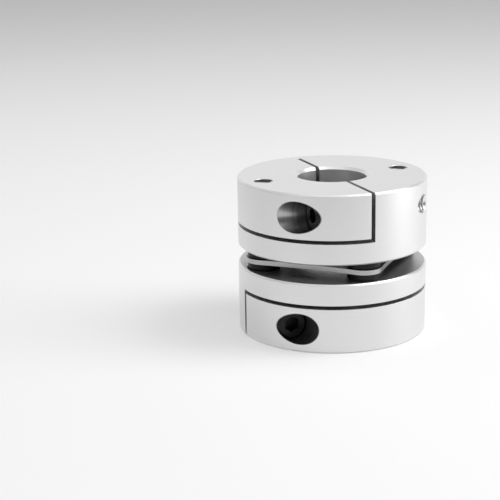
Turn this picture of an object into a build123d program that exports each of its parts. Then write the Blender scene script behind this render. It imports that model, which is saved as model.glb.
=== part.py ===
"""Single-disc flexible coupling with two clamping hubs, standing on the end face of one hub.

Z is the shaft axis, and the origin is the centre of the lower end face. Both hubs are the same
part: the lower one is the upper one turned over, so their bolts alternate round the disc pack.
"""

import os
from math import asin, cos, degrees, radians, sin

from build123d import *

os.makedirs("parts", exist_ok=True)

# Hub, turned from bar (mm)
outer_d = 82.0
hub_length = 30.0
bore_d = 30.0
bore_chamfer = 1.2
rim_chamfer = 0.7

# Saw cuts that free the clamping jaw
flange_thickness = 9.2
saw_width = 1.6
slit_width = 1.8
hinge_wall = 5.0

# Clamping screw: a cap screw across the slit
screw_d = 8.0
screw_length = 30.0
screw_head_d = 13.0
screw_head_height = 8.0
screw_hex = 6.0
screw_hex_depth = 4.0
screw_head_chamfer = 0.8
screw_inset_from_rim = 12.5
screw_inset_from_end = 10.0
screw_seat = 13.8
screw_clearance = 0.5
head_clearance = 0.2

# Bolts through the disc pack: low-head cap screws
bolt_d = 8.0
bolt_length = 16.0
bolt_head_d = 13.0
bolt_head_height = 5.0
bolt_hex = 5.0
bolt_hex_depth = 3.0
bolt_head_chamfer = 0.6
tap_mouth_chamfer = 0.2
recess_clearance = 1.0
recess_headroom = 1.5
recess_rim_wall = 1.5
bolts_per_hub = 2

# Disc pack and the collars on both sides of it
leaf_count = 5
leaf_thickness = 0.4
leaf_margin = 0.8
leaf_waist_drop = 1.0
shaft_clearance = 4.0
collar_d = 14.0
collar_height = 3.0
collar_chamfer = 0.3

# Fits shared by all threads and bolt holes
thread_clearance = 0.05
bolt_hole_clearance = 0.1
thread_lead = 1.0

# Places that follow from the sizes above
outer_r = outer_d / 2
bore_r = bore_d / 2
recess_r = bolt_head_d / 2 + recess_clearance
bolt_circle_r = outer_r - recess_rim_wall - recess_r
station_count = 2 * bolts_per_hub
station_pitch = 360 / station_count
pack_height = leaf_count * leaf_thickness
gap = pack_height + 2 * collar_height
pack_base = hub_length + collar_height

# Each hub stands on its gap face in its own frame, and these planes carry it to its place
upper_seat = Plane(origin=(0, 0, hub_length + gap))
lower_seat = Plane(origin=(0, 0, hub_length), x_dir=(0, 1, 0), z_dir=(0, 0, -1))

# The clamping screw's seat in the hub's frame, its Z along the screw and out of the mouth
screw_plane = Plane(
    origin=(-screw_seat, screw_inset_from_rim - outer_r, hub_length - screw_inset_from_end),
    z_dir=(-1, 0, 0),
)


def save(builder, label):
    """Name a finished piece and write it to its own file."""
    builder.part.label = label
    export_step(builder.part, f"parts/{label}.step")


def clamping_hub():
    """Hub on its gap face, with the clamp slit toward -Y and the screw's mouth toward -X."""
    with BuildPart() as hub:
        with BuildSketch():
            Circle(outer_r)
            Circle(bore_r, mode=Mode.SUBTRACT)
        extrude(amount=hub_length)
        rims = hub.edges().filter_by(GeomType.CIRCLE).group_by(SortBy.RADIUS)
        chamfer(rims[-1], rim_chamfer)
        chamfer(rims[0], bore_chamfer)

        # A radial saw cut parts half of the rim from the flange
        with BuildSketch(Plane.XY.offset(flange_thickness)):
            with Locations((slit_width / 2, 0)):
                Rectangle(outer_d, outer_d, align=(Align.MAX, Align.CENTER))
        extrude(amount=saw_width, mode=Mode.SUBTRACT)

        # The clamp slit opens the rim, and its far end stops short to leave the hinge
        with BuildSketch(Plane.XY.offset(flange_thickness)):
            with Locations((0, -outer_r)):
                Rectangle(slit_width, outer_d - hinge_wall, align=(Align.CENTER, Align.MIN))
        extrude(amount=hub_length - flange_thickness, mode=Mode.SUBTRACT)

        # Counterbored on the jaw's side of the slit and tapped on the other
        head_room = outer_r - screw_seat
        with Locations(screw_plane.offset(head_room)):
            CounterBoreHole(
                radius=screw_d / 2 + screw_clearance,
                counter_bore_radius=screw_head_d / 2 + head_clearance,
                counter_bore_depth=head_room,
                depth=outer_r,
            )
        with Locations(screw_plane.offset(-screw_seat)):
            Hole(radius=screw_d / 2 + thread_clearance, depth=outer_r)

        # Tapped holes take this hub's own bolts, and run through to the end face
        with Locations(Plane.XY.offset(hub_length)):
            with PolarLocations(bolt_circle_r, bolts_per_hub):
                CounterSinkHole(
                    radius=bolt_d / 2 + thread_clearance,
                    counter_sink_radius=bolt_d / 2 + thread_clearance + tap_mouth_chamfer,
                    counter_sink_angle=90,
                    depth=hub_length,
                )

        # Blind recesses clear the heads of the other hub's bolts
        with BuildSketch():
            with PolarLocations(bolt_circle_r, bolts_per_hub, start_angle=station_pitch):
                Circle(recess_r)
        extrude(amount=bolt_head_height + recess_headroom, mode=Mode.SUBTRACT)
    return hub.part


def cap_screw(diameter, length, head_d, head_height, hex_size, hex_depth, head_chamfer):
    """Hexagon socket screw seated on Z = 0, with its head upward."""
    with BuildPart() as screw:
        with BuildSketch():
            Circle(head_d / 2)
        extrude(amount=head_height)
        chamfer(screw.edges().sort_by(Axis.Z)[-1], head_chamfer)
        with BuildSketch(Plane.XY.offset(head_height)):
            RegularPolygon(hex_size / 2, 6, major_radius=False)
        extrude(amount=-hex_depth, mode=Mode.SUBTRACT)
        with BuildSketch():
            Circle(diameter / 2)
        extrude(amount=-length)
        chamfer(screw.edges().sort_by(Axis.Z)[0], thread_lead)
    return screw.part


def leaf_outline():
    """Square with round corners at the bolts and shallow waists between them."""
    corner_r = collar_d / 2 + leaf_margin
    half_pitch = station_pitch / 2
    half_side = bolt_circle_r * sin(radians(half_pitch))
    side_distance = bolt_circle_r * cos(radians(half_pitch))
    reach = corner_r - leaf_waist_drop
    waist_r = (half_side**2 + reach**2 - corner_r**2) / (2 * leaf_waist_drop)
    lean = degrees(asin(half_side / (waist_r + corner_r)))
    for station in range(station_count):
        turn = station * station_pitch
        corner = Vector(bolt_circle_r, 0).rotate(Axis.Z, turn)
        CenterArc(corner, corner_r, turn - half_pitch - lean, 2 * (half_pitch + lean))
        turn += half_pitch
        middle = Vector(side_distance + reach + waist_r, 0).rotate(Axis.Z, turn)
        CenterArc(middle, waist_r, turn + 180 - lean, 2 * lean)


# The two hubs
hub_blank = clamping_hub()

with BuildPart() as upper_hub:
    with Locations(upper_seat):
        add(hub_blank)
save(upper_hub, "upper_hub")

with BuildPart() as lower_hub:
    with Locations(lower_seat):
        add(hub_blank)
save(lower_hub, "lower_hub")

# The clamping screws, one in each hub
clamp_screw = cap_screw(
    screw_d, screw_length, screw_head_d, screw_head_height,
    screw_hex, screw_hex_depth, screw_head_chamfer,
)

with BuildPart() as upper_clamp_screw:
    with Locations(upper_seat.location * screw_plane.location):
        add(clamp_screw)
save(upper_clamp_screw, "upper_clamp_screw")

with BuildPart() as lower_clamp_screw:
    with Locations(lower_seat.location * screw_plane.location):
        add(clamp_screw)
save(lower_clamp_screw, "lower_clamp_screw")

# The disc pack, a stack of equal leaves
for number in range(leaf_count):
    with BuildPart() as leaf:
        with BuildSketch(Plane.XY.offset(pack_base + number * leaf_thickness)):
            with BuildLine():
                leaf_outline()
            make_face()
            Circle(bore_r + shaft_clearance, mode=Mode.SUBTRACT)
            with PolarLocations(bolt_circle_r, station_count):
                Circle(bolt_d / 2 + bolt_hole_clearance, mode=Mode.SUBTRACT)
        extrude(amount=leaf_thickness)
    save(leaf, f"disc_leaf_{number + 1}")

# Bolts and collars, hub by hub: the upper hub's bolts point up, and the lower hub's down
disc_bolt = cap_screw(
    bolt_d, bolt_length, bolt_head_d, bolt_head_height,
    bolt_hex, bolt_hex_depth, bolt_head_chamfer,
)

with BuildPart() as collar:
    with BuildSketch():
        Circle(collar_d / 2)
        Circle(bolt_d / 2 + bolt_hole_clearance, mode=Mode.SUBTRACT)
    extrude(amount=collar_height)
    collar_rims = collar.edges().filter_by(GeomType.CIRCLE).group_by(SortBy.RADIUS)[-1]
    chamfer(collar_rims, collar_chamfer)

for owner, seat in (("upper", upper_seat), ("lower", lower_seat)):
    for number in range(bolts_per_hub):
        spot = Rot(0, 0, number * 360 / bolts_per_hub) * Pos(bolt_circle_r, 0)
        name = f"{owner}_{number + 1}"

        with BuildPart() as bolt:
            with Locations(seat.location * spot * Pos(0, 0, -gap) * Rot(180, 0, 0)):
                add(disc_bolt)
        save(bolt, f"disc_bolt_{name}")

        with BuildPart() as head_collar:
            with Locations(seat.location * spot * Pos(0, 0, -gap)):
                add(collar.part)
        save(head_collar, f"head_collar_{name}")

        with BuildPart() as hub_collar:
            with Locations(seat.location * spot * Pos(0, 0, -collar_height)):
                add(collar.part)
        save(hub_collar, f"hub_collar_{name}")
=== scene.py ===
"""Looks of the disc coupling: finishes, threads, studio and camera. Metres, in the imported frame."""

import math

import bpy
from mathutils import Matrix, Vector


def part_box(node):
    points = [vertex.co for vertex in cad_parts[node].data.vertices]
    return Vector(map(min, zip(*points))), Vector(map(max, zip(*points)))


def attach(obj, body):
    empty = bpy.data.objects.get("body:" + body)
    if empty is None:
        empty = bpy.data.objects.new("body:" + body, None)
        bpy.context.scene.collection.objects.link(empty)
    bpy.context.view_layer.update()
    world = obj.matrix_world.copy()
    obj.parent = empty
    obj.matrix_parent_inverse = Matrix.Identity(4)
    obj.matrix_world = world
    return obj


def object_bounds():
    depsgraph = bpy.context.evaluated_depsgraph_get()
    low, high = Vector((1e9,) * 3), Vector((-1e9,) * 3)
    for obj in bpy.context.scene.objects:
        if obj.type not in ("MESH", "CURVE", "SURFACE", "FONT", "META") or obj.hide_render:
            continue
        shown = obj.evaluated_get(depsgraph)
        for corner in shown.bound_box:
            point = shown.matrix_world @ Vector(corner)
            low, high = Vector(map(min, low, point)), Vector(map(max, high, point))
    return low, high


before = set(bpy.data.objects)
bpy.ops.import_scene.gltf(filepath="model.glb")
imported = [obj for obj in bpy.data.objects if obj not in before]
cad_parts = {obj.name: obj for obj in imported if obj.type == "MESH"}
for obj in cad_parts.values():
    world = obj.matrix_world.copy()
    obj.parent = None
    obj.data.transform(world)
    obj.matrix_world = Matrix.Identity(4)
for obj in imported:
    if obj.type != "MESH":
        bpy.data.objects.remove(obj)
cad_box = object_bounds()

MM = 0.001

# Sizes that the boxes of the nodes don't give
SAW_CUT_TOP = 10.8 * MM
SCREW_SEAT_R = 6.9 * MM
EDGE_MARGIN = 0.02 * MM
TAPPED_R = 4.05 * MM
THREAD_CREST_R = 3.4 * MM
THREAD_PITCH = 1.25 * MM
THREAD_BITE = 0.03 * MM
THREAD_INSET = 0.3 * MM
ROOT_HALF_WIDTH = 0.43 * THREAD_PITCH
CREST_HALF_WIDTH = 0.12 * THREAD_PITCH
STEPS_PER_TURN = 36

# Camera: where it stands round the object, and where the object stands in the frame
CAMERA_AZIMUTH = -24.6
CAMERA_ELEVATION = 15.32
CAMERA_DISTANCE = 0.6329
LENS_MM = 103.57
SENSOR_MM = 36.0
PLACE_IN_FRAME = (0.1637, 0.0007)

# Studio: the floor's side, the dim light of the room, and the tent of cards, open at the back
FLOOR_SIDE = 3.6
ROOM_TONE = 0.16
TENT_STEP = 30
TENT_OPEN_FROM = 120


def box_centre(node):
    """Middle of a CAD node's box."""
    low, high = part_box(node)
    return (Vector(low) + Vector(high)) / 2


def around(azimuth, elevation):
    """Direction from the object to a place round it, in the same degrees as the camera's."""
    a, e = math.radians(azimuth), math.radians(elevation)
    return Vector((math.sin(a) * math.cos(e), -math.cos(a) * math.cos(e), math.sin(e)))


# ---------------------------------------------------------------- threads


def inside_rim(point, hub_r):
    """True where a point lies well inside the hub's rim."""
    return math.hypot(point.x, point.y) < hub_r - THREAD_INSET


def thread_runs(start, axis, length, hub_r):
    """Helix stations of an internal thread, broken where the hole's wall is cut by the rim."""
    side = axis.orthogonal().normalized()
    other = axis.cross(side)
    runs, run = [], []
    for step in range(round(length / THREAD_PITCH * STEPS_PER_TURN) + 1):
        turn = 2 * math.pi * step / STEPS_PER_TURN
        outward = side * math.cos(turn) + other * math.sin(turn)
        middle = start + axis * (THREAD_PITCH * step / STEPS_PER_TURN)
        if inside_rim(middle + outward * TAPPED_R, hub_r):
            run.append((middle, outward))
        elif run:
            runs.append(run)
            run = []
    return [r for r in runs + [run] if len(r) > 2]


def thread(name, start, axis, length, hub_r):
    """Ridge of an internal thread, a trapezoid swept along the helix and closed at its ends."""
    root = TAPPED_R + THREAD_BITE
    section = [
        (root, -ROOT_HALF_WIDTH),
        (root, ROOT_HALF_WIDTH),
        (THREAD_CREST_R, CREST_HALF_WIDTH),
        (THREAD_CREST_R, -CREST_HALF_WIDTH),
    ]
    verts, faces = [], []
    for run in thread_runs(start, axis, length, hub_r):
        first = len(verts)
        for middle, outward in run:
            verts += [middle + outward * r + axis * shift for r, shift in section]
        for ring in range(first, len(verts) - 4, 4):
            for k in range(4):
                near, far = ring + k, ring + (k + 1) % 4
                faces.append((near, far, far + 4, near + 4))
        faces.append((first + 3, first + 2, first + 1, first))
        faces.append(tuple(range(len(verts) - 4, len(verts))))
    mesh = bpy.data.meshes.new(name)
    mesh.from_pydata(verts, [], faces)
    mesh.update()
    piece = bpy.data.objects.new(name, mesh)
    bpy.context.scene.collection.objects.link(piece)
    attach(piece, "root")
    return piece


def hub_threads():
    """Threads in both hubs: the disc bolts' holes seen at the end faces, and the screw's exit."""
    pieces = []
    for owner, out in (("upper", 1), ("lower", -1)):
        low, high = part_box(f"{owner}_hub")
        hub_r = (high[0] - low[0]) / 2
        gap_face, end_face = (low[2], high[2]) if out > 0 else (high[2], low[2])
        from_z = gap_face + out * (SAW_CUT_TOP + THREAD_INSET + THREAD_PITCH / 2)
        length = abs(end_face - from_z) - THREAD_INSET - THREAD_PITCH / 2
        for number in (1, 2):
            spot = box_centre(f"disc_bolt_{owner}_{number}")
            start = Vector((spot.x, spot.y, from_z))
            name = f"{owner}_tapped_thread_{number}"
            pieces.append(thread(name, start, Vector((0, 0, out)), length, hub_r))
        low, high = (Vector(c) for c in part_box(f"{owner}_clamp_screw"))
        middle = (low + high) / 2
        along = Vector((1, 0, 0)) if high.x - low.x > high.y - low.y else Vector((0, 1, 0))
        tip = middle + along * ((high - low).dot(along) / 2 + THREAD_PITCH)
        reach = math.sqrt(hub_r**2 - (tip - along * tip.dot(along)).xy.length ** 2) - tip.dot(along)
        pieces.append(thread(f"{owner}_exit_thread", tip, along, reach + 2 * THREAD_PITCH, hub_r))
    return pieces


# ---------------------------------------------------------------- materials


class Nodes:
    """Short calls for one material's node tree."""

    def __init__(self, name):
        self.material = bpy.data.materials.new(name)
        self.material.use_nodes = True
        self.tree = self.material.node_tree
        self.shader = self.tree.nodes["Principled BSDF"]
        self.place = self.add("ShaderNodeTexCoord").outputs["Object"]

    def add(self, kind, inputs=(), **settings):
        node = self.tree.nodes.new(kind)
        for key, value in settings.items():
            setattr(node, key, value)
        for key, value in dict(inputs).items():
            if isinstance(value, bpy.types.NodeSocket):
                self.tree.links.new(value, node.inputs[key])
            else:
                node.inputs[key].default_value = value
        return node

    def set(self, **inputs):
        for key, value in inputs.items():
            socket = self.shader.inputs[key.replace("_", " ")]
            if isinstance(value, bpy.types.NodeSocket):
                self.tree.links.new(value, socket)
            else:
                socket.default_value = value

    def math(self, operation, a, b=0.0):
        return self.add("ShaderNodeMath", {0: a, 1: b}, operation=operation).outputs[0]

    def remap(self, value, low, high):
        inputs = {"Value": value, "To Min": low, "To Max": high}
        return self.add("ShaderNodeMapRange", inputs).outputs[0]

    def noise(self, vector, per_metre, detail=2.0, roughness=0.5):
        inputs = {"Vector": vector, "Scale": per_metre, "Detail": detail, "Roughness": roughness}
        return self.add("ShaderNodeTexNoise", inputs).outputs["Fac"]

    def grey(self, value):
        return self.add("ShaderNodeCombineColor", {0: value, 1: value, 2: value}).outputs[0]

    def hypot(self, a, b):
        squares = self.math("ADD", self.math("MULTIPLY", a, a), self.math("MULTIPLY", b, b))
        return self.math("SQRT", squares)

    def turned(self):
        """Place as a lathe sees it: radius, height and a little of the turn, in metres."""
        axes = self.add("ShaderNodeSeparateXYZ", {0: self.place}).outputs
        radius = self.hypot(axes[0], axes[1])
        turn = self.math("MULTIPLY", self.math("ARCTAN2", axes[1], axes[0]), 0.0004)
        return self.add("ShaderNodeCombineXYZ", {0: radius, 1: axes[2], 2: turn}).outputs[0]

    def bump(self, height, metres, edge_r=0.0):
        inputs = {"Height": height, "Distance": metres, "Strength": 1.0}
        if edge_r:
            inputs["Normal"] = self.add("ShaderNodeBevel", {"Radius": edge_r}, samples=4).outputs[0]
        return self.add("ShaderNodeBump", inputs).outputs[0]


def screw_hole(n, node):
    """1 on the faces bored for a clamping screw, and the place along its axis."""
    low, high = (Vector(c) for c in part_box(node))
    middle = (low + high) / 2
    offset = n.add("ShaderNodeVectorMath", {0: n.place, 1: middle}, operation="SUBTRACT").outputs[0]
    axes = n.add("ShaderNodeSeparateXYZ", {0: offset}).outputs
    along, across = (axes[0], axes[1]) if high.x - low.x > high.y - low.y else (axes[1], axes[0])
    wall_r = n.remap(n.math("GREATER_THAN", along, 0.0), SCREW_SEAT_R, TAPPED_R)
    inside = n.math("LESS_THAN", n.hypot(across, axes[2]), n.math("ADD", wall_r, EDGE_MARGIN))
    return inside, along


def tapped_walls_to_shade(n):
    """1 on the walls of the disc bolts' tapped holes, each pair in its own hub, where painted shade
    darkens the tone.
    """
    axes = n.add("ShaderNodeSeparateXYZ", {0: n.place}).outputs
    middle = (cad_box[0].z + cad_box[1].z) / 2
    walls = 0.0
    for owner, side in (("upper", "GREATER_THAN"), ("lower", "LESS_THAN")):
        own_hub = n.math(side, axes[2], middle)
        for number in (1, 2):
            spot = box_centre(f"disc_bolt_{owner}_{number}")
            off_axis = n.hypot(n.math("SUBTRACT", axes[0], spot.x), n.math("SUBTRACT", axes[1], spot.y))
            inside = n.math("LESS_THAN", off_axis, TAPPED_R + EDGE_MARGIN)
            walls = n.math("MAXIMUM", walls, n.math("MULTIPLY", inside, own_hub))
    return walls


def gap_faces_to_shade(n):
    """1 on the hubs' faces towards the disc pack, whose tone is darkened there as painted shade."""
    height = n.add("ShaderNodeSeparateXYZ", {0: n.place}).outputs[2]
    low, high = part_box("lower_hub")[1][2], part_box("upper_hub")[0][2]
    off_middle = n.math("ABSOLUTE", n.math("SUBTRACT", height, (low + high) / 2))
    return n.math("LESS_THAN", off_middle, (high - low) / 2 + EDGE_MARGIN)


def anodised_aluminium():
    """Fine-turned aluminium under a satin anodised layer, with tool marks in the screws' holes; painted
    shade darkens those marks, the faces towards the disc pack and the tapped holes' walls.
    """
    n = Nodes("satin_anodised_aluminium")
    upper, upper_along = screw_hole(n, "upper_clamp_screw")
    lower, lower_along = screw_hole(n, "lower_clamp_screw")
    bored = n.math("MAXIMUM", upper, lower)
    along = n.math("ADD", n.math("MULTIPLY", upper, upper_along), n.math("MULTIPLY", lower, lower_along))
    tool = n.noise(n.add("ShaderNodeCombineXYZ", {0: along}).outputs[0], 900.0, 3.0, 0.7)
    rings = n.noise(n.turned(), 2600.0, 3.0, 0.6)
    grain = n.noise(n.place, 9000.0, 2.0)
    cloud = n.noise(n.place, 60.0, 3.0)
    tone = n.math("ADD", n.remap(cloud, -0.008, 0.008), n.remap(rings, 0.785, 0.815))
    # Tool marks in the counterbores: real bumps, and painted shade that darkens the walls to as little
    # as a fifth where the noise is high.
    tool_marks_and_shade = n.math("MULTIPLY", n.math("MULTIPLY", bored, tool), n.math("LESS_THAN", along, 0.0))
    tone = n.math("MULTIPLY", tone, n.remap(tool_marks_and_shade, 1.0, 0.2))
    # Painted shade: the faces between the hubs, towards the disc pack, are darkened.
    tone = n.math("MULTIPLY", tone, n.remap(gap_faces_to_shade(n), 1.0, 0.68))
    # Painted shade: the walls of the tapped holes are darkened.
    tone = n.math("MULTIPLY", tone, n.remap(tapped_walls_to_shade(n), 1.0, 0.45))
    satin = n.math("ADD", n.remap(grain, -0.02, 0.02), n.remap(cloud, 0.36, 0.42))
    roughness = n.math("SUBTRACT", satin, n.math("MULTIPLY", bored, 0.08))
    height = n.math("ADD", n.math("MULTIPLY", rings, 0.6), n.math("MULTIPLY", grain, 0.4))
    height = n.math("ADD", height, n.math("MULTIPLY", tool_marks_and_shade, 3.0))
    n.set(Base_Color=n.grey(tone), Metallic=1.0, Roughness=roughness)
    n.set(Normal=n.bump(height, 0.0000015, 0.00018))
    return n.material


def thread_aluminium():
    """The same metal in the threads: grainy, with no rings, and darker than the hub as painted shade in
    the holes.
    """
    n = Nodes("tapped_aluminium")
    grain = n.noise(n.place, 5000.0, 3.0)
    n.set(Base_Color=n.grey(n.remap(grain, 0.56, 0.66)), Metallic=1.0)
    n.set(Roughness=n.remap(grain, 0.45, 0.55), Normal=n.bump(grain, 0.000004))
    return n.material


def spring_steel():
    """Cold-rolled stainless leaf, with fine rolling lines and a sheared edge."""
    n = Nodes("stainless_leaf")
    stretched = n.add("ShaderNodeMapping", {"Vector": n.place, "Scale": (1.0, 14.0, 14.0)}).outputs[0]
    rolling = n.noise(stretched, 500.0, 4.0, 0.6)
    grain = n.noise(n.place, 4000.0, 2.0)
    tone = n.math("ADD", n.remap(rolling, 0.44, 0.52), n.remap(grain, -0.02, 0.02))
    n.set(Base_Color=n.grey(tone), Metallic=1.0, Roughness=n.remap(rolling, 0.26, 0.38))
    n.set(Normal=n.bump(n.math("ADD", rolling, grain), 0.0000015, 0.00006))
    return n.material


def black_oxide(name, tone, roughness, edge_r):
    """Steel blackened in a bath, slightly mottled, with worn-soft edges."""
    n = Nodes(name)
    mottle = n.noise(n.place, 700.0, 4.0, 0.6)
    grain = n.noise(n.place, 6000.0, 2.0)
    n.set(Base_Color=n.grey(n.remap(mottle, 0.75 * tone, 1.3 * tone)), Metallic=0.6)
    n.set(Roughness=n.remap(grain, roughness - 0.05, roughness + 0.05))
    n.set(Normal=n.bump(grain, 0.000004, edge_r))
    return n.material


def finish(obj, material):
    obj.data.materials.clear()
    obj.data.materials.append(material)


def dress_nodes():
    hub = anodised_aluminium()
    leaf = spring_steel()
    collar = black_oxide("black_oxide_collar", 0.014, 0.42, 0.00015)
    screw = black_oxide("black_oxide_screw", 0.014, 0.36, 0.0002)
    for name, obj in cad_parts.items():
        if name.endswith("_hub"):
            finish(obj, hub)
        elif name.startswith("disc_leaf"):
            finish(obj, leaf)
        elif "collar" in name:
            finish(obj, collar)
        else:
            finish(obj, screw)


# ---------------------------------------------------------------- studio


def seeing_rays(tree):
    """1 on rays that see the background: from the camera, off gloss or through glass."""
    path = tree.nodes.new("ShaderNodeLightPath")
    seen = path.outputs["Is Camera Ray"]
    for kind in ("Is Glossy Ray", "Is Transmission Ray"):
        both = tree.nodes.new("ShaderNodeMath")
        both.operation = "MAXIMUM"
        tree.links.new(seen, both.inputs[0])
        tree.links.new(path.outputs[kind], both.inputs[1])
        seen = both.outputs[0]
    return seen


def white_world(fill):
    """White where it is seen, straight or mirrored, and a dim even fill where it only lights."""
    world = bpy.data.worlds.new("studio_world")
    world.use_nodes = True
    bpy.context.scene.world = world
    tree = world.node_tree
    strength = tree.nodes.new("ShaderNodeMapRange")
    tree.links.new(seeing_rays(tree), strength.inputs["Value"])
    strength.inputs["To Min"].default_value = fill
    strength.inputs["To Max"].default_value = 1.0
    background = tree.nodes["Background"]
    background.inputs["Color"].default_value = (1, 1, 1, 1)
    tree.links.new(strength.outputs[0], background.inputs["Strength"])


def sheet(name, width, depth):
    """Flat stage sheet round its own origin, with an empty material of its own."""
    w, d = width / 2, depth / 2
    mesh = bpy.data.meshes.new(name)
    mesh.from_pydata([(-w, -d, 0), (w, -d, 0), (w, d, 0), (-w, d, 0)], [], [(0, 1, 2, 3)])
    obj = bpy.data.objects.new(name, mesh)
    bpy.context.scene.collection.objects.link(obj)
    material = bpy.data.materials.new(name)
    material.use_nodes = True
    material.node_tree.nodes.clear()
    mesh.materials.append(material)
    return obj, material.node_tree


def face_object(obj, azimuth, elevation, distance, centre):
    """Stands a lamp or a card round the object, on a bearing from the camera's, turned to it."""
    direction = around(CAMERA_AZIMUTH + azimuth, elevation)
    obj.location = centre + direction * distance
    obj.rotation_mode = "QUATERNION"
    obj.rotation_quaternion = direction.to_track_quat("Z", "Y")


def floor(tone, seen_glow):
    """Pale floor under the lamps; its glow takes it to white and leaves the object's shadow."""
    tree = sheet("floor", FLOOR_SIDE, FLOOR_SIDE)[1]
    out = tree.nodes.new("ShaderNodeOutputMaterial")
    diffuse = tree.nodes.new("ShaderNodeBsdfDiffuse")
    diffuse.inputs["Color"].default_value = (tone, tone, tone, 1)
    glow = tree.nodes.new("ShaderNodeEmission")
    glow.inputs["Color"].default_value = (1, 1, 1, 1)
    strength = tree.nodes.new("ShaderNodeMapRange")
    strength.inputs["To Max"].default_value = seen_glow
    tree.links.new(seeing_rays(tree), strength.inputs["Value"])
    tree.links.new(strength.outputs[0], glow.inputs["Strength"])
    both = tree.nodes.new("ShaderNodeAddShader")
    tree.links.new(diffuse.outputs[0], both.inputs[0])
    tree.links.new(glow.outputs[0], both.inputs[1])
    tree.links.new(both.outputs[0], out.inputs["Surface"])


def lamp(name, azimuth, elevation, distance, size, watts, centre):
    """Soft square lamp that looks at the object."""
    data = bpy.data.lights.new(name, "AREA")
    data.shape = "RECTANGLE"
    data.size, data.size_y = size
    data.energy = watts
    obj = bpy.data.objects.new(name, data)
    bpy.context.scene.collection.objects.link(obj)
    face_object(obj, azimuth, elevation, distance, centre)


def card(name, azimuth, elevation, distance, size, tone, centre):
    """Grey card out of the camera's sight, there to be mirrored in the metal."""
    obj, tree = sheet(name, *size)
    face_object(obj, azimuth, elevation, distance, centre)
    obj.visible_camera = False
    obj.visible_shadow = False
    out = tree.nodes.new("ShaderNodeOutputMaterial")
    glow = tree.nodes.new("ShaderNodeEmission")
    glow.inputs["Color"].default_value = (tone, tone, tone, 1)
    tree.links.new(glow.outputs[0], out.inputs["Surface"])


def camera(centre):
    """Camera on its bearing, turned so that the object stands right of the frame's middle."""
    data = bpy.data.cameras.new("camera")
    data.lens = LENS_MM
    data.sensor_width = SENSOR_MM
    data.clip_start = 0.01
    obj = bpy.data.objects.new("camera", data)
    bpy.context.scene.collection.objects.link(obj)
    bearing = around(CAMERA_AZIMUTH, CAMERA_ELEVATION)
    obj.location = centre + bearing * CAMERA_DISTANCE
    spread = SENSOR_MM / LENS_MM
    place = Vector((PLACE_IN_FRAME[0] * spread, PLACE_IN_FRAME[1] * spread, -1))
    turn = Vector((0, 0, -1)).rotation_difference(place)
    obj.rotation_mode = "QUATERNION"
    obj.rotation_quaternion = (-bearing).to_track_quat("-Z", "Y") @ turn.inverted()
    bpy.context.scene.camera = obj


# ---------------------------------------------------------------- the scene

dress_nodes()
tapped = thread_aluminium()
for piece in hub_threads():
    finish(piece, tapped)

object_centre = (cad_box[0] + cad_box[1]) / 2
white_world(ROOM_TONE)
floor(0.8, 0.27)
lamp("overhead", 0, 80, 1.2, (1.8, 1.8), 8.6, object_centre)
lamp("right_softbox", 90, 50, 1.0, (0.6, 0.6), 3.6, object_centre)
lamp("right_low_softbox", 90, 12, 1.0, (0.4, 0.35), 3.0, object_centre)
card("left_strip", -42, 4, 1.0, (0.3, 0.7), 0.7, object_centre)
card("left_back", -115, 42, 1.0, (0.8, 0.8), 0.75, object_centre)
# A grey tent, open behind the object so that the white background shows in the metal there
card("tent_top", 0, 90, 2.0, (4.6, 4.6), ROOM_TONE, object_centre)
for side in range(-TENT_OPEN_FROM, TENT_OPEN_FROM + 1, TENT_STEP):
    number = (side + TENT_OPEN_FROM) // TENT_STEP + 1
    card(f"tent_side_{number}", side, 20, 2.2, (1.2, 2.8), ROOM_TONE, object_centre)
camera(object_centre)

bpy.context.scene.view_settings.view_transform = "Standard"
